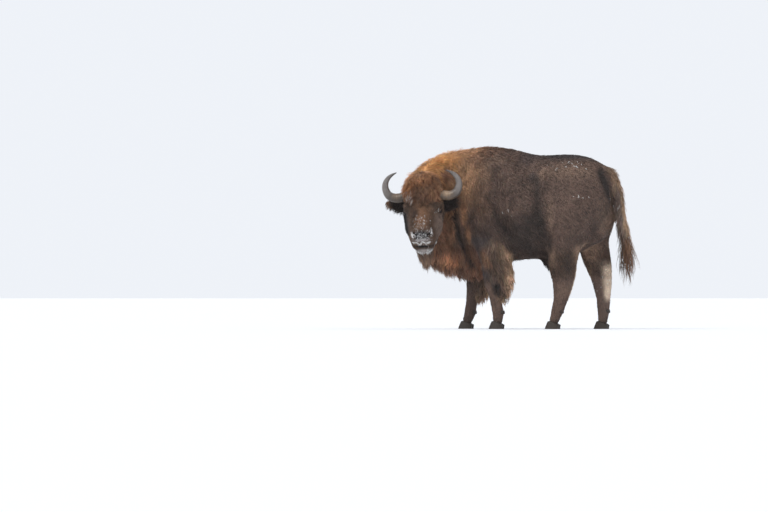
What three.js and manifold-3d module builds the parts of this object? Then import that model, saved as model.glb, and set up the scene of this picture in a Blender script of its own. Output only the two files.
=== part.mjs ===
// A life-size European bison bull, standing in mid step with its head turned to its left.
// Millimetres, +Z up. The body faces -Y and its left side is +X.
// Every solid reaches to the tips of the coat.
import * as THREE from "three";
import { mergeVertices } from "three/addons/utils/BufferGeometryUtils.js";
import Module from "manifold-3d";

const wasm = await Module();
wasm.setup();

// ---------------------------------------------------------------- driving sizes
const HUMP = 1748; // height of the withers over the coat
const LOIN = 1657; // height of the back at its lowest
const BELLY = 664; // height of the belly's coat
const GAP = 0.4; // the thin cut between two neighbouring pieces
const CORONET = 78; // height at which the leg meets the hooves
const FAR = 4000; // longer than the whole animal

// The point midway between the horn bases, and how far the head is turned from there, in degrees.
const HEAD = { at: [480, -868, 1268], yaw: 101, pitch: 40, roll: -3 };

const SIDES = { left: 1, right: -1 };
// How far each foot is carried back (+) or forward (-) of a square stance, and how much its
// middle joint rises. `cut` is the height at which the leg's own pieces begin.
const LEGS = {
  foreleg_left: { side: 1, swing: 178, lift: 0, cut: 900 },
  foreleg_right: { side: -1, swing: -240, lift: 0, cut: 900 },
  hindleg_left: { side: 1, swing: -185, lift: -30, cut: 1000 },
  hindleg_right: { side: -1, swing: 190, lift: 62, cut: 1000 },
};

const COAT = {
  rump: 0x5a483d,
  flank: 0x5b493e,
  mane: 0x8a5a35,
  chest: 0x74492f,
  face: 0x6e4a33,
  leg: 0x4a3a31,
  muzzle: 0x3a322f,
  tail: 0x5d4534,
};

// ---------------------------------------------------------------- small tools
const { clamp, degToRad, lerp } = THREE.MathUtils;
const power = (v, p) => Math.sign(v) * Math.abs(v) ** p;
const X = new THREE.Vector3(1, 0, 0);
const Y = new THREE.Vector3(0, 1, 0);

// Catmull-Rom value at t, counted in steps along the list.
function along(values, t) {
  const i = clamp(Math.floor(t), 0, values.length - 2);
  const f = t - i;
  const [a, b, c, d] = [-1, 0, 1, 2].map((k) => values[clamp(i + k, 0, values.length - 1)]);
  return b + 0.5 * f * (c - a + f * (2 * a - 5 * b + 4 * c - d + f * (3 * (b - c) + d - a)));
}

// Spreads `count` stations evenly over a table whose first row names the columns.
function stations([names, ...rows], count) {
  return Array.from({ length: count }, (_, i) => {
    const t = (i / (count - 1)) * (rows.length - 1);
    return Object.fromEntries(names.map((name, k) => [name, along(rows.map((r) => r[k]), t)]));
  });
}

// A closed mesh through rings of points that all have the same length, its two ends moved out by `grow`.
function tube(rings, grow = 0) {
  const n = rings[0].length;
  const middle = (ring) => ring.reduce((s, p) => s.add(p), new THREE.Vector3()).divideScalar(n);
  const ends = [[rings[0], rings[1]], [rings.at(-1), rings.at(-2)]];
  const steps = ends.map(([end, next]) => middle(end).sub(middle(next)).setLength(grow));
  ends.forEach(([end], i) => end.forEach((point) => point.add(steps[i])));
  const points = [...rings.flat(), middle(rings[0]), middle(rings.at(-1))];
  const first = rings.length * n;
  const last = first + 1;
  const faces = [];
  for (let j = 0; j < n; j++) {
    const k = (j + 1) % n;
    for (let i = 0; i < rings.length - 1; i++) {
      const [a, b, c, d] = [i * n + j, i * n + k, (i + 1) * n + k, (i + 1) * n + j];
      faces.push(a, b, c, a, c, d);
    }
    faces.push(first, k, j, last, first - n + j, first - n + k);
  }
  const geometry = new THREE.BufferGeometry().setFromPoints(points);
  geometry.setIndex(faces);
  return geometry;
}

// Six times the volume that a closed mesh holds, below zero where its faces look inwards.
function signedVolume(points, faces) {
  const [a, b, c] = [0, 1, 2].map(() => new THREE.Vector3());
  let sum = 0;
  for (let i = 0; i < faces.length; i += 3) {
    [a, b, c].forEach((v, k) => v.fromArray(points, faces[i + k] * 3));
    sum += a.dot(b.cross(c));
  }
  return sum;
}

// A geometry in the frame of a group, as a solid with its faces turned out.
function solid(geometry, frame) {
  const plain = geometry.clone();
  plain.deleteAttribute("normal");
  plain.deleteAttribute("uv");
  if (frame) plain.applyMatrix4(frame.matrixWorld);
  const merged = mergeVertices(plain, 1e-3);
  const vertProperties = merged.attributes.position.array;
  const triVerts = new Uint32Array(merged.index.array);
  if (signedVolume(vertProperties, triVerts) < 0) triVerts.reverse();
  return new wasm.Manifold(new wasm.Mesh({ numProp: 3, vertProperties, triVerts }));
}

function geometryOf(body) {
  const { numProp, vertProperties, triVerts } = body.getMesh();
  const points = new Float32Array((vertProperties.length / numProp) * 3);
  for (let i = 0; i < points.length / 3; i++) {
    points.set(vertProperties.subarray(i * numProp, i * numProp + 3), i * 3);
  }
  const geometry = new THREE.BufferGeometry();
  geometry.setAttribute("position", new THREE.BufferAttribute(points, 3));
  geometry.setIndex(new THREE.BufferAttribute(triVerts, 1));
  return geometry;
}

// A box between two corners in the frame of a group, grown by `grow` on every side.
function block(low, high, frame, grow = 0) {
  const size = high.map((v, i) => v - low[i] + 2 * grow);
  const middle = high.map((v, i) => (v + low[i]) / 2);
  return solid(new THREE.BoxGeometry(...size).translate(...middle), frame);
}

// The rounded swelling, or hollow where `high` is negative, of a list of bumps at a point.
function swelling(point, bumps) {
  return bumps.reduce((sum, { at, size, high }) => {
    const d2 = at.reduce((s, v, i) => s + ((point.getComponent(i) - v) / size[i]) ** 2, 0);
    return d2 < 1 ? sum + high * (1 - d2) ** 2 : sum;
  }, 0);
}

const bothSides = (bumps) =>
  bumps.flatMap((b) => [b, { ...b, at: [-b.at[0], b.at[1], b.at[2]] }]);

// An egg-shaped ring: `half` wide at height `waist`. Its upper and lower arcs are sharpened
// over 1 and squared under 1.
function eggRing(s, sides, place, bumps, grow) {
  return Array.from({ length: sides }, (_, j) => {
    const a = (j / sides) * 2 * Math.PI;
    const [across, up] = [Math.sin(a), Math.cos(a)];
    const reach = (up > 0 ? s.top - s.waist : s.waist - s.bottom) + grow;
    const sharp = up > 0 ? s.ridge : s.keel;
    const flat = new THREE.Vector2((s.half + grow) * power(across, sharp), reach * up);
    const point = place(flat.x, s.waist + flat.y, s);
    const out = swelling(point, bumps);
    if (out === 0) return point;
    flat.multiplyScalar(1 + out / flat.length());
    return place(flat.x, s.waist + flat.y, s);
  });
}

// ---------------------------------------------------------------- trunk and neck
// One shell from the rump to the nape. x and y are its midline, turn its heading to the left in degrees.
const TORSO = [
  ["x", "y", "turn", "top", "bottom", "waist", "half", "ridge", "keel"],
  [0, 872, 0, 1400, 1010, 1200, 60, 1, 1],
  [0, 850, 0, 1495, 925, 1220, 165, 1, 1],
  [0, 770, 0, 1568, 848, 1210, 236, 0.95, 1],
  [0, 620, 0, 1640, 776, 1180, 272, 0.95, 1],
  [0, 440, 0, LOIN + 8, 690, 1150, 290, 1, 0.95],
  [0, 260, 0, LOIN, BELLY + 8, 1120, 322, 1.05, 0.9],
  [0, 100, 0, LOIN + 3, BELLY, 1090, 350, 1.1, 0.88],
  [0, -60, 0, LOIN + 48, BELLY - 4, 1080, 352, 1.2, 0.88],
  [0, -210, 0, HUMP - 14, BELLY - 26, 1080, 336, 1.25, 1],
  [0, -300, 0, HUMP - 4, 588, 1082, 326, 1.25, 1.5],
  [0, -400, 0, HUMP, 506, 1085, 316, 1.25, 2],
  [0, -520, 0, HUMP - 18, 462, 1100, 300, 1.2, 2.1],
  [0, -640, 0, 1712, 472, 1130, 282, 1.1, 1.8],
  [12, -712, 14, 1704, 498, 1150, 270, 1, 1.6],
  [48, -790, 32, 1688, 524, 1165, 258, 1, 1.5],
  [110, -850, 50, 1660, 556, 1180, 246, 1, 1.45],
  [190, -888, 66, 1620, 606, 1195, 230, 1, 1.4],
  [280, -905, 80, 1568, 680, 1210, 210, 1, 1.35],
  [350, -905, 88, 1520, 790, 1220, 176, 0.95, 1.2],
  [400, -900, 94, 1470, 930, 1230, 130, 0.95, 1],
];

const TORSO_FORMS = bothSides([
  { at: [235, 335, 1520], size: [150, 130, 120], high: 34 }, // hip bone
  { at: [300, 150, 1430], size: [190, 150, 190], high: -34 }, // hollow of the flank
  { at: [270, -330, 1330], size: [170, 210, 330], high: 26 }, // shoulder blade
  { at: [330, -120, 1020], size: [190, 90, 330], high: -26 }, // fold behind the shoulder
  { at: [130, 800, 1430], size: [110, 110, 110], high: 18 }, // pin bone
  { at: [330, 190, 900], size: [190, 110, 260], high: -22 }, // fold before the thigh
]);

// Turns a place in a station's own upright ring into a point.
function placing({ x, y, turn }) {
  const a = degToRad(turn);
  return (across, height) => new THREE.Vector3(x + across * Math.cos(a), y + across * Math.sin(a), height);
}

function torso(grow = 0) {
  const rings = stations(TORSO, 27).map((s) => eggRing(s, 22, placing(s), TORSO_FORMS, grow));
  return solid(tube(rings, grow));
}

// ---------------------------------------------------------------- legs
// Squarely standing legs from top to coronet: the middle, then the fore-aft and lateral half sizes.
const FORELEG = [
  ["x", "y", "z", "deep", "wide"],
  [170, -420, 1330, 120, 90],
  [212, -405, 1150, 178, 118],
  [222, -398, 980, 182, 118],
  [212, -392, 850, 142, 104],
  [196, -395, 720, 98, 82],
  [186, -400, 590, 84, 72],
  [183, -402, 465, 82, 68],
  [182, -394, 395, 72, 61],
  [181, -386, 290, 61, 54],
  [181, -379, 170, 64, 58],
  [181, -384, 115, 55, 54],
  [182, -394, CORONET, 61, 61],
];

const HINDLEG = [
  ["x", "y", "z", "deep", "wide"],
  [100, 585, 1400, 165, 80],
  [176, 575, 1230, 234, 126],
  [200, 560, 1060, 246, 124],
  [206, 535, 900, 212, 108],
  [202, 530, 770, 158, 90],
  [196, 535, 660, 149, 80],
  [190, 556, 555, 136, 72],
  [187, 566, 485, 119, 64],
  [185, 570, 390, 102, 57],
  [184, 565, 280, 77, 52],
  [183, 547, 165, 64, 57],
  [183, 538, 115, 55, 54],
  [183, 527, CORONET, 61, 61],
];

// Moves a station of a square leg to where its foot stands in this pose.
function posed(s, table, { side, swing, lift }) {
  const top = table[1][2];
  const down = clamp((top - s.z) / (top - CORONET), 0, 1);
  return {
    ...s,
    x: s.x * side,
    y: s.y + swing * down,
    z: s.z + lift * Math.sin(Math.PI * down) ** 2,
  };
}

function legRows(name) {
  const table = name.startsWith("fore") ? FORELEG : HINDLEG;
  return stations(table, 13).map((s) => posed(s, table, LEGS[name]));
}

function leg(name, grow = 0) {
  const rows = legRows(name);
  const rings = rows.map((s, i) => {
    const [above, below] = [rows[Math.max(i - 1, 0)], rows[Math.min(i + 1, rows.length - 1)]];
    const run = new THREE.Vector2(below.y - above.y, below.z - above.z).normalize();
    const level = i === rows.length - 1 ? new THREE.Vector2(0, -1) : run;
    return Array.from({ length: 10 }, (_, j) => {
      const a = (j / 10) * 2 * Math.PI;
      const fore = (s.deep + grow) * Math.cos(a);
      const across = (s.wide + grow) * Math.sin(a);
      return new THREE.Vector3(s.x + across, s.y - fore * level.y, s.z + fore * level.x);
    });
  });
  return solid(tube(rings, grow));
}

// One claw: a flat sole with its toe forward, drawn in towards the coronet.
// The dewclaws are small blunt cones.
const HOOF = { long: 66, wide: 30, tall: CORONET - GAP / 2, toe: 1.25, heel: 0.8, lean: 18 };
const DEWCLAW = { apart: 26, below: 190, radius: 15, long: 38, droop: 0.45 };

function claw() {
  const rings = [0, 0.5, 1].map((t) => {
    const shrink = lerp(1, 0.8, t);
    return Array.from({ length: 10 }, (_, j) => {
      const a = (j / 10) * 2 * Math.PI;
      const reach = HOOF.long * (Math.cos(a) > 0 ? HOOF.toe : HOOF.heel);
      const fore = reach * power(Math.cos(a), 0.85) * shrink - HOOF.lean * t;
      return new THREE.Vector3(HOOF.wide * power(Math.sin(a), 0.8) * shrink, -fore, HOOF.tall * t);
    });
  });
  return tube(rings);
}

// ---------------------------------------------------------------- head
const SKULL = [
  ["forward", "top", "bottom", "waist", "half", "ridge", "keel"],
  [-185, 20, -250, -110, 110, 1, 1],
  [-150, 78, -300, -100, 150, 0.9, 1],
  [-85, 108, -336, -95, 176, 0.9, 1.05],
  [-15, 112, -350, -95, 188, 0.9, 1.1],
  [50, 100, -352, -95, 194, 0.9, 1.15],
  [105, 76, -346, -98, 196, 0.95, 1.15],
  [155, 50, -338, -124, 193, 1, 1],
  [205, 26, -334, -162, 188, 1.05, 0.85],
  [255, 6, -332, -190, 179, 1.1, 0.8],
  [305, -10, -336, -200, 160, 1.05, 0.8],
  [350, -22, -350, -198, 139, 0.95, 0.8],
  [392, -32, -366, -194, 124, 0.8, 0.8],
  [428, -46, -370, -192, 116, 0.75, 0.8],
  [455, -72, -342, -192, 99, 0.8, 0.8],
  [468, -112, -290, -196, 66, 0.9, 0.9],
];

const EYE = { at: [163, -152, -74], radius: 21 };
const MOUTH = -236; // height of the line between the lips

const SKULL_FORMS = bothSides([
  { at: [160, -118, -30], size: [80, 70, 55], high: 14 }, // brow over the eye
  { at: [185, -210, -90], size: [60, 48, 50], high: -12 }, // corner before the eye
  { at: [165, -60, -200], size: [120, 130, 120], high: 16 }, // cheek
  { at: [140, -345, -150], size: [70, 70, 60], high: -9 }, // between cheek and lip
  { at: [62, -448, -82], size: [44, 40, 34], high: 10 }, // rim of the nostril
  { at: [76, -470, -104], size: [26, 30, 20], high: -16 }, // nostril
]);

// Two frames share the point between the horns: one stands upright, and the other is tipped
// along the skull.
// In both the animal's left is +X and its nose is towards -Y.
const poise = new THREE.Group();
poise.position.set(...HEAD.at);
poise.rotation.set(0, degToRad(HEAD.roll), degToRad(HEAD.yaw), "ZXY");
const tipped = new THREE.Group();
tipped.rotation.x = degToRad(HEAD.pitch);
poise.add(tipped);
poise.updateMatrixWorld(true);

function skull(grow = 0) {
  const rings = stations(SKULL, 17).map((s) => {
    const place = (across, height) => new THREE.Vector3(across, -s.forward, height);
    return eggRing(s, 18, place, SKULL_FORMS, grow);
  });
  return solid(tube(rings, grow), tipped);
}

function eyeball(side, radius) {
  const [x, y, z] = EYE.at;
  return solid(new THREE.SphereGeometry(radius, 10, 6).translate(side * x, y, z), tipped);
}

// The horn's curve in the upright frame: out to the side, up, and in again to the tip.
const HORN = [
  ["out", "fore", "rise", "thick"],
  [150, 6, 4, 50],
  [205, 0, -8, 49],
  [266, 0, -10, 46],
  [324, 4, 20, 41],
  [351, 10, 78, 35],
  [348, 18, 134, 29],
  [321, 26, 180, 22],
  [282, 32, 210, 14],
  [236, 36, 231, 5],
];

// Rings of a round or oval tube along a path. The first radius lies across the path along `hand`.
function ringsAlong(path, sides, hand, radiiAt) {
  return path.map((at, i) => {
    const next = path[Math.min(i + 1, path.length - 1)];
    const run = next.clone().sub(path[Math.max(i - 1, 0)]).normalize();
    const over = new THREE.Vector3().crossVectors(run, hand).normalize();
    const flat = new THREE.Vector3().crossVectors(over, run);
    const [first, second] = radiiAt(i);
    return Array.from({ length: sides }, (_, j) => {
      const a = (j / sides) * 2 * Math.PI;
      const point = at.clone().addScaledVector(flat, first * Math.cos(a));
      return point.addScaledVector(over, second * Math.sin(a));
    });
  });
}

function horn(side, grow = 0) {
  const rows = stations(HORN, 11);
  const path = rows.map((s) => new THREE.Vector3(side * s.out, -s.fore, s.rise));
  const radius = (i) => rows[i].thick + grow;
  return solid(tube(ringsAlong(path, 8, Y, (i) => [radius(i), radius(i)]), grow), poise);
}

// The ear is a cupped leaf that opens forward. It stands out sideways from its root.
const EAR = { root: [160, 92, -98], reach: 214, lift: 46, wide: 62, thick: 10, cup: 26 };

function ear(side, grow = 0) {
  const [x, y, z] = EAR.root;
  const rings = Array.from({ length: 7 }, (_, i) => {
    const t = i / 6;
    const half = EAR.wide * (0.62 + 1.5 * t - 1.75 * t ** 2) + 5 + grow;
    const thick = EAR.thick * lerp(1.9, 0.5, t) + grow;
    const hollow = EAR.cup * Math.sin(Math.PI * clamp((t - 0.3) / 0.75, 0, 1));
    return Array.from({ length: 8 }, (_, j) => {
      const a = (j / 8) * 2 * Math.PI;
      const bend = hollow * (Math.cos(a) ** 2 - 0.5);
      const back = thick * Math.sin(a) - bend;
      return new THREE.Vector3(
        side * (x + EAR.reach * t),
        y + back,
        z + EAR.lift * t + half * Math.cos(a),
      );
    });
  });
  return solid(tube(rings, grow), poise);
}

// ---------------------------------------------------------------- tail
const TAIL = [
  ["y", "z", "deep", "wide"],
  [770, 1500, 50, 50],
  [832, 1506, 48, 52],
  [880, 1445, 50, 52],
  [912, 1350, 52, 50],
  [934, 1240, 52, 48],
  [950, 1110, 54, 48],
  [966, 980, 60, 54],
  [992, 850, 82, 66],
  [1020, 735, 92, 72],
  [1000, 620, 72, 58],
  [962, 515, 22, 22],
];

function tail(grow = 0) {
  const rows = stations(TAIL, 14);
  const path = rows.map((s) => new THREE.Vector3(0, s.y, s.z));
  const radii = (i) => [rows[i].wide + grow, rows[i].deep + grow];
  return solid(tube(ringsAlong(path, 9, X, radii), grow));
}

// ---------------------------------------------------------------- long hair
// Hair that hangs clear of the flesh.
// The shock over the forehead and the beard under the chin, in the head's upright frame.
const FORELOCK = [
  ["x", "y", "z", "deep", "wide"],
  [0, 14, 238, 40, 50],
  [0, 8, 208, 96, 120],
  [0, 0, 145, 132, 174],
  [0, -14, 75, 146, 194],
  [0, -36, 5, 140, 192],
  [0, -66, -58, 112, 150],
  [0, -100, -112, 72, 96],
  [0, -122, -145, 30, 44],
];

const BEARD = [
  ["x", "y", "z", "deep", "wide"],
  [0, -48, -420, 60, 56],
  [0, -58, -480, 92, 84],
  [0, -60, -535, 92, 84],
  [6, -56, -590, 76, 70],
  [16, -50, -645, 50, 48],
  [30, -44, -690, 18, 18],
];

// The fringe behind a forelimb, from the elbow to below the knee, square on to the body.
const CHAP = [
  ["x", "y", "z", "deep", "wide"],
  [205, -330, 890, 60, 60],
  [208, -314, 820, 120, 110],
  [204, -300, 720, 144, 110],
  [198, -296, 610, 150, 100],
  [192, -296, 500, 146, 86],
  [188, -302, 410, 132, 74],
  [186, -316, 335, 96, 56],
  [185, -330, 275, 40, 30],
];

const SHEATH = [
  ["x", "y", "z", "deep", "wide"],
  [0, 205, 720, 84, 46],
  [0, 224, 645, 66, 40],
  [0, 240, 590, 42, 28],
  [0, 254, 525, 12, 12],
];

function tassel(rows, sides, frame) {
  const path = rows.map((s) => new THREE.Vector3(s.x, s.y, s.z));
  return solid(tube(ringsAlong(path, sides, X, (i) => [rows[i].wide, rows[i].deep])), frame);
}

// ---------------------------------------------------------------- the pieces
const root = new THREE.Group();
root.add(poise);

function add(name, body, color, roughness = 0.95, parent = root) {
  const geometry = geometryOf(body).applyMatrix4(parent.matrixWorld.clone().invert());
  const material = new THREE.MeshStandardMaterial({ color, roughness, metalness: 0 });
  const mesh = new THREE.Mesh(geometry, material);
  mesh.name = name;
  parent.add(mesh);
}

const legNames = Object.keys(LEGS);
const join = (solids) => solids.reduce((sum, next) => sum.add(next));
const heads = (grow) => join([skull(grow), horn(1, grow), horn(-1, grow), ear(1, grow), ear(-1, grow)]);
const below = (z, grow = 0) => block([-FAR, -FAR, -FAR], [FAR, FAR, z], null, grow);

// Trunk and neck, with sockets for the legs, the head and the tail.
const above = (z) => block([-FAR, -FAR, z], [FAR, FAR, FAR]);
let trunk = join([torso(), ...legNames.map((name) => leg(name).intersect(above(LEGS[name].cut)))]);
legNames.forEach((name) => {
  trunk = trunk.subtract(leg(name, GAP).intersect(below(LEGS[name].cut, GAP)));
});
trunk = trunk.subtract(heads(GAP)).subtract(tail(GAP));
const cuts = [
  ["neck", -FAR, -640, COAT.mane],
  ["forequarters", -640, -60, COAT.flank],
  ["barrel", -60, 300, COAT.flank],
  ["hindquarters", 300, FAR, COAT.rump],
];
const brisket = (grow) => block([-FAR, -FAR, 0], [FAR, -290, 800], null, grow);
add("chest_mane", trunk.intersect(brisket(0)), COAT.chest);
trunk = trunk.subtract(brisket(GAP));
cuts.forEach(([name, from, to, color]) => {
  const low = from + (from > -FAR ? GAP / 2 : 0);
  const high = to - (to < FAR ? GAP / 2 : 0);
  add(name, trunk.intersect(block([-FAR, low, 0], [FAR, high, FAR])), color);
});

// Legs, cut level at their joints.
const LEVELS = {
  fore: { forearm: 480, cannon: 190, pastern: CORONET },
  hind: { thigh: 745, shank: 500, cannon: 190, pastern: CORONET },
};
legNames.forEach((name) => {
  let top = LEGS[name].cut;
  const whole = leg(name);
  Object.entries(LEVELS[name.slice(0, 4)]).forEach(([segment, bottom]) => {
    const slab = block([-FAR, -FAR, bottom + GAP / 2], [FAR, FAR, top - GAP / 2]);
    add(`${name}_${segment}`, whole.intersect(slab), COAT.leg);
    top = bottom;
  });
});

// Head.
let headSolid = skull();
Object.values(SIDES).forEach((side) => {
  const [x, y, z] = EYE.at;
  const opening = new THREE.SphereGeometry(EYE.radius + 5, 8, 6).translate(side * (x + 16), y - 6, z);
  headSolid = headSolid.subtract(eyeball(side, EYE.radius + GAP)).subtract(solid(opening, tipped));
  headSolid = headSolid.subtract(horn(side, GAP)).subtract(ear(side, GAP));
});
const snoutBox = (from, low, high, grow) => block([-400, -900, low], [400, -from, high], tipped, grow);
const muzzleBox = (grow) => snoutBox(372, MOUTH, 400, grow);
const jawBox = (grow) => snoutBox(170, -700, MOUTH - GAP, grow);
add("muzzle", headSolid.intersect(muzzleBox(0)), COAT.muzzle, 0.6, tipped);
add("lower_jaw", headSolid.intersect(jawBox(0)), COAT.muzzle, 0.9, tipped);
add("head", headSolid.subtract(muzzleBox(GAP)).subtract(jawBox(GAP)), COAT.face, 0.95, tipped);
Object.entries(SIDES).forEach(([word, side]) => {
  add(`eye_${word}`, eyeball(side, EYE.radius), 0x1b120d, 0.12, tipped);
  add(`horn_${word}`, horn(side), 0x3b3733, 0.45, poise);
  add(`ear_${word}`, ear(side).subtract(horn(side, GAP)), 0x3c2f28, 0.95, poise);
});

// Hair, each volume cut clear of the flesh and of the hair beside it.
const fleshClear = join([torso(GAP), heads(GAP), ...legNames.map((name) => leg(name, GAP))]);
const chap = (name) => tassel(stations(CHAP, 8).map((s) => posed(s, FORELEG, LEGS[name])), 9);
const forelegs = legNames.slice(0, 2);
add("forelock", tassel(stations(FORELOCK, 8), 10, poise).subtract(fleshClear), COAT.face, 0.95, poise);
add("beard", tassel(stations(BEARD, 7), 8, poise).subtract(fleshClear), COAT.chest, 0.95, poise);
forelegs.forEach((name) => add(`${name}_chaps`, chap(name).subtract(fleshClear), COAT.leg));
add("sheath_tuft", tassel(stations(SHEATH, 5), 8).subtract(fleshClear), COAT.rump);

// Tail.
add("tail_dock", tail().intersect(above(900 + GAP)), COAT.tail);
add("tail_tuft", tail().intersect(below(900)), COAT.tail);

// Feet. Each claw and dewclaw hangs in its own foot's group.
legNames.forEach((name) => {
  const { side } = LEGS[name];
  const rows = legRows(name);
  const [fetlock, coronet] = [rows.find((s) => s.z < DEWCLAW.below), rows.at(-1)];
  const foot = new THREE.Group();
  foot.position.set(coronet.x, coronet.y, 0);
  root.add(foot);
  root.updateMatrixWorld(true);
  Object.entries({ inner: -side, outer: side }).forEach(([word, way]) => {
    const hoof = claw().translate(way * (HOOF.wide + GAP), 0, 0);
    add(`${name}_claw_${word}`, solid(hoof, foot), 0x2a2522, 0.55, foot);
    const cone = new THREE.CylinderGeometry(DEWCLAW.radius, DEWCLAW.radius * 0.5, DEWCLAW.long, 6);
    const behind = fetlock.y - coronet.y + fetlock.deep - 12;
    cone.rotateX(DEWCLAW.droop).translate(way * DEWCLAW.apart, behind, fetlock.z - 6);
    const dewclaw = solid(cone, foot).subtract(leg(name, GAP));
    add(`${name}_dewclaw_${word}`, dewclaw, 0x2a2522, 0.55, foot);
  });
});

// The whole stands on the ground over the middle of its own bounding box.
root.updateMatrixWorld(true);
const box = new THREE.Box3().setFromObject(root, true);
const middle = box.getCenter(new THREE.Vector3());
root.position.set(-middle.x, -middle.y, -box.min.z);
const bison = new THREE.Group();
bison.add(root);

export default bison;
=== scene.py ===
"""The looks of a life-size European bison bull: one skin, a coat of solid tufts, horns, hooves and eyes.

Metres, +Z up. The body faces -Y with its left side towards +X, and its head is turned to its left.
"""

from contextlib import contextmanager
from math import cos, pi, radians, sin, sqrt

import bmesh
import bpy
import numpy as np
import openvdb
from mathutils import Matrix, Vector
from mathutils.bvhtree import BVHTree
from mathutils.kdtree import KDTree


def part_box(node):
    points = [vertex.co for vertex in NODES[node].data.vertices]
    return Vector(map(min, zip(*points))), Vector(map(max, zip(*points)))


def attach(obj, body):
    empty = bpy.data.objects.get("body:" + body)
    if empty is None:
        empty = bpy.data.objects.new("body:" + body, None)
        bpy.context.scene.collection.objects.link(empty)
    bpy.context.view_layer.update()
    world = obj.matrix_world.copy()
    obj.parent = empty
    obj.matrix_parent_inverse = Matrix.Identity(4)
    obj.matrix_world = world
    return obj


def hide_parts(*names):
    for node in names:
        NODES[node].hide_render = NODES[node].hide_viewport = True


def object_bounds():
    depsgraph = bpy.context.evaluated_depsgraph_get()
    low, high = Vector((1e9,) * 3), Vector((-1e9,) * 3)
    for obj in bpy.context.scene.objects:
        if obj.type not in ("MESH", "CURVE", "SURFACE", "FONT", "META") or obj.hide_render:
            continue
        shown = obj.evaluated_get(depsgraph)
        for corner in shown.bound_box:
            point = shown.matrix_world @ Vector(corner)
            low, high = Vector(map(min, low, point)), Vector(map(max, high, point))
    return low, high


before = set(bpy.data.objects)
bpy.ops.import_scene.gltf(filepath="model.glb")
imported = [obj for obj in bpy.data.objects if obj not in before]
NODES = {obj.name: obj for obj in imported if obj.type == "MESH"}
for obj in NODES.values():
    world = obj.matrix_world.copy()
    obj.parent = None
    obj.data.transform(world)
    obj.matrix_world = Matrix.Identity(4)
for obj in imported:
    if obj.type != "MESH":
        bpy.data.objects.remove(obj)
CAD_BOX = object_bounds()
LEGS = ("foreleg_left", "foreleg_right", "hindleg_left", "hindleg_right")

# ---------------- driving values
TAIL_BOX, BARREL_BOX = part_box("tail_dock"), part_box("barrel")
# The body's own origin: on the floor, under the spine, 0.3 m before the cut between barrel and hindquarters.
ORIGIN = np.array([(TAIL_BOX[0].x + TAIL_BOX[1].x) / 2, BARREL_BOX[1].y - 0.2998, 0.0])
HEAD_AT = ORIGIN + (0.480, -0.868, 1.268)  # midway between the horn bases
POISE = (
    Matrix.Translation(HEAD_AT.tolist())
    @ Matrix.Rotation(radians(101), 4, "Z")  # turned to its left
    @ Matrix.Rotation(radians(-3), 4, "Y")  # rolled
)
TIPPED = POISE @ Matrix.Rotation(radians(40), 4, "X")  # the face slopes down
HEAD_LONG, HEAD_HALF = 0.6, 0.26  # length and half width of the block that holds the head
VOXEL = 0.0148  # grain of the skin before the head is refined
GRID_START = tuple((np.floor(np.array(CAD_BOX[0]) / VOXEL).astype(int) - 6).tolist())
GRID_SHAPE = tuple(np.ceil(np.array(CAD_BOX[1]) / VOXEL).astype(int) + 7 - GRID_START)
GRID_STEP = openvdb.createLinearTransform(voxelSize=VOXEL)
TUFT_BUDGET = 1.0


def colour(text):
    """Linear colour of a hexadecimal one."""
    values = np.array([int(text[i : i + 2], 16) / 255 for i in (0, 2, 4)])
    return np.where(values <= 0.04045, values / 12.92, ((values + 0.055) / 1.055) ** 2.4)


def ramp(low, high, x):
    """0 before low and 1 after high, smooth between."""
    t = np.clip((x - low) / (high - low), 0, 1)
    return t * t * (3 - 2 * t)


def bell(x, width):
    """1 at 0, fading smoothly on both sides."""
    return np.exp(-((x / width) ** 2))


def unit(vectors):
    return vectors / np.maximum(np.linalg.norm(vectors, axis=-1, keepdims=True), 1e-9)


def circle(sides):
    return np.linspace(0, 2 * pi, sides, endpoint=False)


def to_frame(matrix, points):
    """Points of the part in the frame of a matrix."""
    inverse = np.array(matrix.inverted())
    return points @ inverse[:3, :3].T + inverse[:3, 3]


def from_frame(matrix, points):
    full = np.array(matrix)
    return points @ full[:3, :3].T + full[:3, 3]


def folded(own):
    """Places with the left and right sides laid on each other."""
    return np.column_stack([np.abs(own[:, 0]), own[:, 1:]])


def body_place(points):
    """Distance from the midline, y and z of points, from the body's own origin."""
    return folded(points - ORIGIN)


def head_place(points):
    """Distance from the midline, minus the way forward, and height of points in the head's tipped frame."""
    return folded(to_frame(TIPPED, points))


def falloff(points, at, size):
    """1 at a point and 0 on the ellipsoid of that size round it, smooth between."""
    return np.clip(1 - (((points - at) / size) ** 2).sum(1), 0, 1) ** 2


# ---------------- regions of the coat
GOLD = colour("e8a96c")
ORANGE = colour("a8714a")
AMBER = colour("b48a68")
RUST = colour("8a6550")
COPPER = colour("cf9068")
UMBER = colour("645046")
FAWN = colour("776152")
BARK = colour("75645a")
SLATE = colour("544a48")
SOOT = colour("382f2b")
TAN = colour("b39276")
SAND = colour("beaa96")
COCOA = colour("5c483b")
CHESTNUT = colour("87634a")
DUN = colour("8d715e")
NIGHT = colour("2b2727")
INK = colour("211e1e")
ASH = colour("b8adab")
FROST = colour("f0eeec")


def both(pattern):
    """The names of a left and a right node."""
    return [pattern.format(side) for side in ("left", "right")]


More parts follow.
